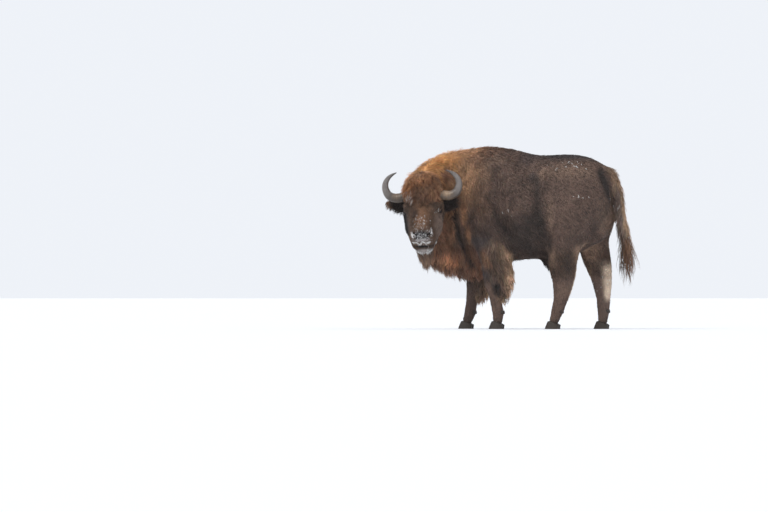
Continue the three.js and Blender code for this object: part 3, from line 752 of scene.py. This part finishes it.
def lock_form(rings):
    """Steps along a lock, its faces, and each vertex's step and side. One ring makes a short leaf."""
    if rings == 1:
        faces = [(0, 2, 3), (0, 3, 1), (2, 4, 3), (3, 4, 1), (0, 1, 4, 2)]
        return np.array([0, 0.38, 1]), faces, np.array([0, 0.38, 0.38, 0.38, 1]), np.array([0, -1.0, 1, 0, 0])
    top = 3 * (rings - 1)
    turns = [(c, (c + 1) % 3) for c in range(3)]
    quads = [(row + c, row + 3 + c, row + 3 + d, row + d) for row in range(0, top, 3) for c, d in turns]
    ends = [(top + c, 3 * rings, top + d) for c, d in turns] + [(0, 1, 2)]
    steps = np.linspace(0, 1, rings + 1)
    return steps, quads + ends, np.repeat(steps, [3] * rings + [1]), np.array([-1.0, 1, 0] * rings + [0])


def lock_shape(spot, rng, steps):
    """Middle line of a lock for every root, and its width."""
    root, normal, flow, value = (spot[key] for key in ("root", "normal", "flow", "value"))
    count = len(root)
    length = value[:, LENGTH] * np.clip(rng.normal(1, 0.24, count), 0.45, 1.7)
    width = value[:, WIDTH] * np.clip(rng.normal(1, 0.2, count), 0.6, 1.5) / sqrt(TUFT_BUDGET)
    lift = np.radians(value[:, LIFT]) * np.clip(rng.normal(1, 0.4, count), 0.1, 1.8)
    droop, curl = value[:, [DROOP]], value[:, CURL]
    across = unit(np.cross(flow, normal))
    sway = 0.55 * curl * ripple(root, 0.17, 5) + 0.35 * curl * ripple(root, 0.06, 6)
    sway = sway + 0.16 * rng.normal(size=count)
    flow = unit(flow * np.cos(sway)[:, None] + across * np.sin(sway)[:, None])
    start = unit(flow * np.cos(lift)[:, None] + normal * np.sin(lift)[:, None])
    end = start * (1 - droop) + droop * (0, 0, -1.0)
    end = unit(end - normal * np.minimum((end * normal).sum(1, keepdims=True) - 0.02, 0))
    phase = 2.4 * ripple(root, 0.07, 21) + rng.uniform(0, 1.6, count)
    wave = (curl * length * 0.11)[:, None] * np.sin(steps[None] * 5.2 + phase[:, None])
    wave = (wave - wave[:, :1])[:, :, None]
    late = (steps**2 / 2)[None, :, None]
    bent = start[:, None] * (steps[None, :, None] - late) + end[:, None] * late
    path = root[:, None] - normal[:, None] * 0.002 + length[:, None, None] * bent + across[:, None] * wave
    return gather(root, path, curl, steps, rng), width


def gather(root, path, curl, steps, rng):
    """Draws the tips of neighbouring locks together, so that the coat parts into clumps."""
    leaders = rng.choice(len(path), max(len(path) // 9, 1), replace=False)
    tree = KDTree(len(leaders))
    for i, leader in enumerate(leaders):
        tree.insert(root[leader], i)
    tree.balance()
    follow = leaders[[tree.find(p)[1] for p in root.tolist()]]
    pull = np.clip(0.25 + 0.5 * curl, 0, 0.75)[:, None, None] * (steps**1.6)[None, :, None]
    aim = path[follow] + 0.35 * (path[:, :1] - path[follow][:, :1])
    return path * (1 - pull) + aim * pull


def lock_mesh(name, spot, rng, rings):
    """One mesh of closed locks, with their colours and the OFBake map."""
    steps, faces, stands, sides = lock_form(rings)
    path, width = lock_shape(spot, rng, steps)
    count, each = len(path), len(stands)
    run = np.gradient(path, axis=1)
    across = unit(np.cross(run, spot["normal"][:, None]))
    up = unit(np.cross(across, run))
    if rings == 1:
        half = width[:, None] * 0.5
        middle, beside, over = path[:, 1], across[:, 1] * half, up[:, 1] * half * 0.8
        points = np.stack([path[:, 0], middle - beside, middle + beside, middle + over, path[:, 2]], axis=1)
    else:
        taper = (0.75 + 0.9 * steps[:-1] - 1.45 * steps[:-1] ** 2)[None, :, None]
        half = width[:, None, None] * taper * 0.5
        middle, beside, over = path[:, :-1], across[:, :-1] * half, up[:, :-1] * half * 0.8
        corners = np.stack([middle - beside, middle + beside, middle + over], axis=2)
        points = np.concatenate([corners.reshape(count, -1, 3), path[:, -1:]], axis=1)
    pattern = np.array([i for face in faces for i in face])
    totals = np.tile([len(face) for face in faces], count)
    mesh = bpy.data.meshes.new(name)
    mesh.vertices.add(count * each)
    mesh.loops.add(count * len(pattern))
    mesh.polygons.add(len(totals))
    write(mesh.vertices, "co", points)
    write(mesh.loops, "vertex_index", np.arange(count)[:, None] * each + pattern[None], np.int32)
    write(mesh.polygons, "loop_start", np.concatenate([[0], np.cumsum(totals)[:-1]]), np.int32)
    write(mesh.polygons, "loop_total", totals, np.int32)
    write(mesh.polygons, "use_smooth", np.ones(len(totals)), bool)
    mesh.update(calc_edges=True)
    paint(mesh, lock_colours(spot, rng, stands))
    strands = rng.uniform(0, 400, count)[:, None] + 1.6 * sides[None]
    write(mesh.attributes.new("strand", "FLOAT", "POINT").data, "value", strands)
    offset = np.column_stack([sides, stands * 2 - 1]) * 0.0015
    uv = spot["uv"][:, None] * 0.99 + 0.005 + offset[pattern][None]
    write(mesh.uv_layers.new(name="OFBake").data, "uv", uv)
    return mesh


def lock_colours(spot, rng, stands):
    """Each lock a little lighter or darker, redder or greyer, than the next, with painted shade towards its
    root.
    """
    root, count = spot["root"], len(spot["root"])
    tone = spot["colour"] * np.exp(rng.normal(0, 0.18, count))[:, None]
    tone = tone * np.exp(rng.normal(0, 0.05, (count, 3)))
    tone = tone * np.exp(0.24 * ripple(root, 0.10, 8) + 0.20 * ripple(root, 0.3, 9))[:, None]
    # painted shade deep in the coat: dark at the root, lifting towards the tip
    shade = (0.66 + 0.46 * stands)[None, :, None]
    white = FROST * rng.uniform(0.8, 1.0, (count, 1))
    cover = 1.0 if len(stands) == 5 else ramp(0.45, 0.8, stands)[None, :, None]
    cover = cover * spot["iced"][:, None, None]
    return tone[:, None] * shade * (1 - cover) + white[:, None] * cover


# Pieces of the coat: regions, kind of hair, rings of a lock, and where split, the heights that bound it.
COAT = {
    "crest": (["neck"], "mane", 3, 1.3, 9.0),
    "neck": (["neck"], "mane", 3, 0.0, 1.3),
    "forequarters": (["fore"], "body", 1),
    "barrel": (["barrel"], "body", 1),
    "hindquarters": (["hind"], "body", 1),
    "chest": (["chest", "sheath"], "chest", 3),
    "chaps": (["chaps"], "dark", 3),
    "forelegs": (["arm"], "dark", 1),
    "hindlegs": (["thigh", "shank"], "dark", 1),
    "feet": (["cannon"], "dark", 1),
    "face": (["face", "muzzle", "jaw", "ear"], "face", 1),
    "forelock": (["forelock", "beard"], "face", 3),
    "tail": (["dock", "tassel"], "tail", 3),
}


def chart(points, region, cell, cells):
    """Cylinder map of one region, in its own strip of the unit square."""
    if region in ("face", "muzzle", "jaw", "ear"):
        x, y, z = to_frame(TIPPED, points).T
        angle, length = np.arctan2(x, z + 0.11), -y
    elif region in ("forelock", "beard"):
        x, y, length = to_frame(POISE, points).T
        angle = np.arctan2(x, -y)
    elif region in ("neck", "fore", "barrel", "hind", "chest"):
        angle, length = np.arctan2(points[:, 0] - ORIGIN[0], points[:, 2] - 1.1), points[:, 1]
    else:
        left = points[:, 0] > ORIGIN[0]
        centre = np.where(left[:, None], points[left].mean(0) if left.any() else 0, points[~left].mean(0))
        x, y, _ = (points - centre).T
        angle, length = np.arctan2(x, -y) / 2 + np.where(left, 1.57, -1.57), points[:, 2]
    v = (length - length.min()) / max(np.ptp(length), 1e-6)
    return np.column_stack([angle / (2 * pi) + 0.5, (cell + v * 0.98 + 0.01) / cells])


def chart_of_roots(spot, regions):
    """Places of the roots on the map of their piece, each region in its own strip."""
    uv = np.zeros((len(spot["root"]), 2))
    for cell, region in enumerate(regions):
        chosen = spot["label"] == NAMES.index(region)
        if chosen.any():
            uv[chosen] = chart(spot["root"][chosen], region, cell, len(regions))
    return uv


def clear_of_eyes(points, iced):
    """Roots that are not on the lids or in the nostrils, nor on the bare nose unless white with frost."""
    aside, y, z = head_place(points).T
    nose = (-y > 0.445) & (aside < 0.064) & (z > -0.170) & (z < -0.070)
    at = NOSTRIL["at"]
    nostril = (-y > 0.40) & (((aside - at[0]) / 0.021) ** 2 + ((z - at[2]) / 0.014) ** 2 < 1)
    return ~(eye_part(points, 0.033) | (nose & ~iced) | nostril)


# ---------------- materials
def filled(node, values):
    """A node with values set in its inputs, whose names have underscores for spaces."""
    for key, value in values.items():
        node.inputs[key.replace("_", " ")].default_value = value
    return node


def new_node(nodes, kind, **values):
    return filled(nodes.new("ShaderNode" + kind), values)


def material(name, **sockets):
    """A material whose shader has some values set."""
    made = bpy.data.materials.new(name)
    made.use_nodes = True
    nodes, links = made.node_tree.nodes, made.node_tree.links
    return made, nodes, links, filled(nodes["Principled BSDF"], sockets)


def attribute(nodes, name, output):
    node = nodes.new("ShaderNodeAttribute")
    node.attribute_name = name
    return node.outputs[output]


def grain(nodes, links, scale):
    """Noise in the object's own coordinates, drawn out upwards, or at scale 0, strands along each lock."""
    texture = new_node(nodes, "TexNoise", Scale=scale or 1.5, Detail=4.0 if scale else 2.0)
    if scale:
        mapping = new_node(nodes, "Mapping", Scale=(1, 1, 0.25))
        links.new(nodes.new("ShaderNodeTexCoord").outputs["Object"], mapping.inputs["Vector"])
        links.new(mapping.outputs["Vector"], texture.inputs["Vector"])
    else:
        texture.noise_dimensions = "1D"
        links.new(attribute(nodes, "strand", "Fac"), texture.inputs["W"])
    return texture.outputs["Fac"]


def painted(name, scale, shades, relief, **sockets):
    """A surface with the mesh's own colours, made darker and lighter and raised by its grain."""
    made, nodes, links, shader = material(name, **sockets)
    fac = grain(nodes, links, scale)
    span = new_node(nodes, "MapRange", From_Min=0.3, From_Max=0.7, To_Min=shades[0], To_Max=shades[1])
    links.new(fac, span.inputs["Value"])
    product = nodes.new("ShaderNodeVectorMath")
    product.operation = "SCALE"
    links.new(attribute(nodes, "coat", "Color"), product.inputs[0])
    links.new(span.outputs["Result"], product.inputs["Scale"])
    links.new(product.outputs["Vector"], shader.inputs["Base Color"])
    bump = new_node(nodes, "Bump", Strength=relief[0], Distance=relief[1])
    links.new(fac, bump.inputs["Height"])
    links.new(bump.outputs["Normal"], shader.inputs["Normal"])
    return made


# ---------------- pieces
def add_object(name, data):
    made = bpy.data.objects.new(name, data)
    bpy.context.scene.collection.objects.link(made)
    return made


def add_piece(mesh, name, stuff, nodes=()):
    mesh.materials.append(stuff)
    piece = add_object(name, mesh)
    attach(piece, "root")
    if nodes:
        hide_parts(*nodes)


# Patches of snow and frost. Tipped frame: place, size, chance for one tuft to be white.
FACE_FROST = [
    ((0.094, -0.44, -0.1), (0.03, 0.075, 0.06), 2),  # left of the nose
    ((-0.09, -0.44, -0.122), (0.038, 0.075, 0.04), 2.2),  # right of the nose
    ((0.118, -0.385, -0.28), (0.036, 0.08, 0.06), 1.2),  # left corner of the mouth
    ((0.045, -0.44, -0.28), (0.035, 0.06, 0.04), 1.5),  # lower lip
    ((0, -0.37, -0.03), (0.14, 0.15, 0.08), 0.42),  # bridge
    ((-0.01, -0.46, -0.13), (0.14, 0.09, 0.12), 0.85),  # nose
    ((0, -0.42, -0.3), (0.11, 0.09, 0.06), 0.85),  # lower lip
    ((-0.125, -0.13, 0.085), (0.085, 0.09, 0.04), 2.2),  # right of the forehead
    ((-0.13, -0.08, 0.14), (0.075, 0.1, 0.09), 0.4),  # edge of the forelock
    ((0.15, -0.18, -0.045), (0.04, 0.05, 0.03), 0.45),  # over the left eye
]
# The same on the body: distance from the midline, y, z.
BODY_FROST = [
    ((0.18, 0.44, 1.555), (0.16, 0.26, 0.07), 1.1),
    ((0.3, 0.62, 1.24), (0.12, 0.12, 0.12), 0.35),
    ((0.36, -0.1, 1.12), (0.12, 0.09, 0.14), 0.25),
    ((0.06, 0.94, 1.2), (0.1, 0.1, 0.3), 0.25),
    ((0.2, 0.72, 0.44), (0.1, 0.2, 0.16), 0.5),
]


def frost_chance(points):
    """How likely a tuft is to be white."""
    local = to_frame(TIPPED, points)
    x, forward, z = local[:, 0], -local[:, 1], local[:, 2]
    clumps = ramp(-0.4, 0.8, ripple(points, 0.024, 12))
    chance = np.zeros(len(points))
    for at, size, most in FACE_FROST:
        chance = np.maximum(chance, most * falloff(local, at, size) * (0.4 + 0.6 * clumps))
    # the rims of both lips
    line = -0.199 - 0.013 * np.cos((x + 0.030) / 0.012) * bell(x + 0.020, 0.06)
    upper = bell(z - line, 0.013) * (forward > 0.40)
    lower = bell(z + 0.332 - 2.6 * x * x, 0.019) * (forward > 0.36)
    edge = ramp(0.105, 0.080, np.abs(x + 0.010))
    chance = np.maximum(chance, np.maximum(upper, 1.2 * lower) * edge * (0.9 + 0.5 * clumps))
    at = NOSTRIL["at"]
    hole = ((np.abs(x) - at[0]) / 0.016) ** 2 + ((z - at[2]) / 0.010) ** 2 < 1
    chance = np.where(hole & (forward > 0.38), 0, chance)
    flecks = ramp(0.65, 1.0, ripple(points, 0.045, 14))
    for at, size, most in BODY_FROST:
        chance = np.maximum(chance, most * falloff(body_place(points), at, size) * flecks)
    return np.clip(chance, 0, 1)


def make_skin():
    """The skin with its ears and the rims of its lids, sculpted and painted."""
    points, quads = skin_surface()
    mesh = solid("skin", points, quads.tolist())
    relax(mesh, 4)
    soften(mesh)
    for part in (head_part, fine_part, finest_part):
        refine(mesh, part)
    sculpt_body(mesh)
    sculpt_face(mesh)
    body = len(mesh.vertices)
    ears = body + 2 * EAR_RINGS * EAR_SIDES
    with editing(mesh) as work:
        for co, faces in (ear_shell(1), ear_shell(-1), lid_rim(1), lid_rim(-1)):
            verts = [work.verts.new(p) for p in co]
            for face in faces:
                work.faces.new([verts[i] for i in face])
    skin = Skin(finished(mesh), slice(body, ears))
    skin.colours[ears:] = INK
    paint(mesh, mixed(skin.colours, FROST * 0.9, ramp(0.7, 1.0, skin.frost)))
    return skin


def lay_coat(skin, hair):
    owner = skin.label[skin.triangles[:, 0]]
    height = skin.points[skin.triangles[:, 0], 2]
    for seed, (piece, (regions, kind, rings, *heights)) in enumerate(COAT.items()):
        rng = np.random.default_rng(100 + seed)
        low, high = heights or (0.0, 9.0)
        within = np.isin(owner, [NAMES.index(r) for r in regions]) & (height >= low) & (height < high)
        spot = plant(skin, np.nonzero(within)[0], rng)
        keep = clear_of_eyes(spot["root"], spot["iced"])
        spot = {key: value[keep] for key, value in spot.items()}
        spot["uv"] = chart_of_roots(spot, regions)
        add_piece(lock_mesh(f"coat_{piece}", spot, rng, rings), f"coat_{piece}", hair)


# ---------------- horns
# Middle line and radius of a horn from root to tip: out, fore, rise, thick.
HORN = np.array([
    (0.12, 0.006, 0.01, 0.047),
    (0.15, 0.006, 0.004, 0.05),
    (0.205, 0, -0.008, 0.049),
    (0.266, 0, -0.01, 0.046),
    (0.324, 0.004, 0.02, 0.041),
    (0.351, 0.01, 0.078, 0.035),
    (0.348, 0.018, 0.134, 0.029),
    (0.321, 0.026, 0.18, 0.022),
    (0.282, 0.032, 0.21, 0.014),
    (0.236, 0.036, 0.231, 0.004),
])


def spline(rows, t):
    """Catmull-Rom values at steps t along a table."""
    last = len(rows) - 1
    i = np.clip(np.floor(t).astype(int), 0, last - 1)
    f = (t - i)[:, None]
    a, b, c, d = (rows[np.clip(i + k, 0, last)] for k in (-1, 0, 1, 2))
    return b + 0.5 * f * (c - a + f * (2 * a - 5 * b + 4 * c - d + f * (3 * (b - c) + d - a)))


def horn_mesh(side):
    """A curved horn, ringed and grooved towards its root, with painted light on its upper side and painted
    shade over the right horn.
    """
    rings, sides = 90, 32
    rows = spline(HORN, np.linspace(0, len(HORN) - 1, rings))
    path = np.column_stack([side * rows[:, 0], -rows[:, 1], rows[:, 2]])
    run = unit(np.gradient(path, axis=0))
    over = unit(np.cross(run, (0, 1, 0)))
    flat = np.cross(over, run)
    share = np.linspace(0, 1, rings)
    wear = np.clip(1 - share / 0.62, 0, 1)
    ridge = 0.0022 * wear * np.sin(share * 120 + 2 * np.sin(share * 37))
    angle = circle(sides)
    groove = 1 + 0.016 * wear[:, None] * np.sin(angle * 11 + 3 * np.sin(share[:, None] * 9))
    ring = np.maximum(rows[:, 3] + ridge, 0.0015)[:, None] * groove
    points = path[:, None] + flat[:, None] * (ring * np.cos(angle))[:, :, None]
    points = points + over[:, None] * (ring * np.sin(angle))[:, :, None] * 0.96
    mesh = tube("horn", points, POISE, flip=side < 0)
    root, patch, middle, tip = colour("3a332e"), colour("947a60"), colour("756e6a"), colour("524d4a")
    tone = np.repeat(share, sides)
    # painted light: the tan patch shows mostly on the upper side, and the underside stays darker
    lit = ramp(-0.5, 0.5, arrays(mesh)[2][:, 2])
    tint = mixed(np.tile(root, (len(tone), 1)), patch, bell(tone - 0.26, 0.13) * (0.35 + 0.65 * lit))
    tint = mixed(tint, middle, ramp(0.34, 0.56, tone))
    tint = mixed(tint, tip, ramp(0.74, 0.96, tone))
    # painted shade over the right horn, deepest at its root
    right_horn_shade = 1.0 if side > 0 else (0.25 + 0.65 * ramp(0.12, 0.5, tone))[:, None]
    paint(mesh, tint * right_horn_shade)
    return mesh


# ---------------- eyes
def eye_mesh(side):
    """An eyeball with a bulging cornea, a dark iris and a flat pupil."""
    centre, outward, forward, upward = eye_axes(side)
    polar = np.linspace(0.0005, pi - 0.0005, 40)[:, None]
    angle = circle(48)
    a, f, u = np.cos(polar) + 0 * angle, np.sin(polar) * np.cos(angle), np.sin(polar) * np.sin(angle)
    bulge = 1 + 0.07 * np.exp(-((polar / 0.5) ** 4))
    ball = (a * bulge)[..., None] * outward + f[..., None] * forward + u[..., None] * upward
    mesh = tube("eye", centre + EYE["radius"] * ball, TIPPED)
    tone = np.tile(colour("1c100a"), (*a.shape, 1))
    tone[np.hypot(f, u) > 0.62] = colour("14100e")  # outside the iris
    tone[(np.hypot(f / 0.36, u / 0.2) < 1) & (a > 0)] = colour("040404")  # pupil
    paint(mesh, tone)
    return mesh


# ---------------- hooves
def claw_mesh(node):
    """A rounded claw in its node's box: flat sole, pointed toe, lower at the heel, with growth rings."""
    low, high = np.array(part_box(node))
    outer = 1 if ("outer" in node) == ("left" in node) else -1
    rings, sides = 26, 40
    t = np.linspace(0, 1, rings)[:, None]
    angle = circle(sides)[None, :]
    ahead = np.clip(np.cos(angle), 0, 1)
    # the wall leans in, turns over at the crown and is rounded at the sole's edge
    crown = np.sqrt(np.clip((1 - t) / 0.16, 0, 1))
    shrink = (1 - 0.22 * t) * (0.94 + 0.06 * np.sqrt(np.clip(t / 0.07, 0, 1))) * (1 + 0.010 * np.sin(t * 34))
    shrink = shrink * (0.35 + 0.65 * crown)
    toe, heel = 0.0825, 0.0528  # lengths before and behind the middle
    fore = toe * ahead**0.9 - heel * np.clip(-np.cos(angle), 0, 1) ** 0.9
    half = ((high - low) / 2)[0]
    wide = np.sign(np.sin(angle)) * np.abs(np.sin(angle)) ** 0.75 * half * (1 - 0.22 * ahead**2)
    tuck = 1 - 0.20 * (np.sign(np.sin(angle)) == outer) * ahead
    tall = (high[2] - low[2]) * (0.80 + 0.24 * np.cos(angle))
    x = (low[0] + high[0]) / 2 + shrink * wide * tuck
    y = low[1] + toe - shrink * fore + 0.018 * t
    z = low[2] + tall * (1 - (1 - t) ** 1.2)
    mesh = tube(node, np.stack([x, y, z], axis=-1))
    tone = np.repeat(t, sides)
    bands = 1 + 0.07 * np.sin(tone * 34) + 0.05 * np.sin(tone * 83 + 1)
    paint(mesh, colour("3b332d") * (bands * (1 - 0.2 * tone))[:, None])
    return mesh


def dewclaw_mesh(node):
    """A small blunt horn behind the fetlock, pointing down and back."""
    low, high = np.array(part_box(node))
    axis = unit((0, 0.35, -0.9))
    start = (low + high) / 2 - axis * 0.018 - (0, 0.013, 0)
    t = np.linspace(0, 1, 14)
    angle = circle(20)[None, :, None]
    radius = 0.0125 * np.sqrt(np.clip(1 - t**2.6, 0, 1)) + 0.0004
    aside = (1.0, 0, 0)
    middle = start + axis * (0.034 * t)[:, None]
    around = np.cos(angle) * aside + np.sin(angle) * np.cross(axis, aside)
    mesh = tube(node, middle[:, None] + radius[:, None, None] * around)
    paint(mesh, np.tile(colour("37302b"), (len(mesh.vertices), 1)))
    return mesh


# ---------------- stage
def camera():
    """Far off on the animal's left and a little behind it, close to the ground."""
    heading, distance, height, aim_height = radians(18), 81.3, 0.371, 0.695
    aim = ORIGIN[:2] + (0.415, -1.277)
    spot = aim + np.array([cos(heading), sin(heading)]) * distance
    data = bpy.data.cameras.new("camera")
    data.lens, data.sensor_width, data.clip_end = 400, 36, 1000
    made = add_object("camera", data)
    made.location = (*spot, height)
    made.rotation_euler = Vector((*(spot - aim), height - aim_height)).to_track_quat("Z", "Y").to_euler()
    bpy.context.scene.camera = made


def stage():
    """A pale floor under a pale sky, with a broad soft sun."""
    mesh = bpy.data.meshes.new("floor")
    with editing(mesh) as work:
        bmesh.ops.create_circle(work, cap_ends=True, segments=96, radius=300)
    mesh.materials.append(material("floor", Roughness=0.9, Base_Color=(0.90, 0.91, 0.93, 1))[0])
    add_object("floor", mesh)
    world = bpy.data.worlds.new("pale_sky")
    bpy.context.scene.world = world
    world.use_nodes = True
    filled(world.node_tree.nodes["Background"], {"Color": (0.86, 0.89, 0.94, 1), "Strength": 1.0})
    light = bpy.data.lights.new("sun", "SUN")
    light.energy = 1.1
    light.angle = radians(35)
    light.color = (1.0, 0.97, 0.92)
    add_object("sun", light).rotation_euler = (radians(42), radians(-8), radians(75))


# ---------------- assembly
stage()
camera()
bpy.context.scene.view_settings.view_transform = "Standard"

hair = painted(
    "bison_hair", 0, (0.66, 1.34), (0.5, 0.0015),
    Roughness=0.68, Specular_IOR_Level=0.35, Sheen_Weight=0.10, Sheen_Roughness=0.5,
)
hide = painted("skin_under_coat", 160.0, (0.7, 1.1), (0.6, 0.003), Roughness=0.7, Specular_IOR_Level=0.3)
horny, glossy, worn = (
    painted(name, scale, (0.78, 1.22), (0.3, depth), Roughness=roughness, Specular_IOR_Level=gloss)
    for name, scale, depth, roughness, gloss in (
        ("horn", 90.0, 0.0020, 0.30, 0.6), ("eye", 60.0, 0.0, 0.10, 0.3), ("hoof", 120.0, 0.001, 0.5, 0.4),
    )
)
skin = make_skin()
add_piece(skin.mesh, "skin", hide, FLESH)
lay_coat(skin, hair)
for word, side in (("left", 1), ("right", -1)):
    add_piece(horn_mesh(side), f"horn_{word}_grown", horny, [f"horn_{word}"])
    add_piece(eye_mesh(side), f"eye_{word}_glossy", glossy, [f"eye_{word}"])
for leg in LEGS:
    for side in ("inner", "outer"):
        for node, shape in ((f"{leg}_claw_{side}", claw_mesh), (f"{leg}_dewclaw_{side}", dewclaw_mesh)):
            add_piece(shape(node), f"{node}_horny", worn, [node])
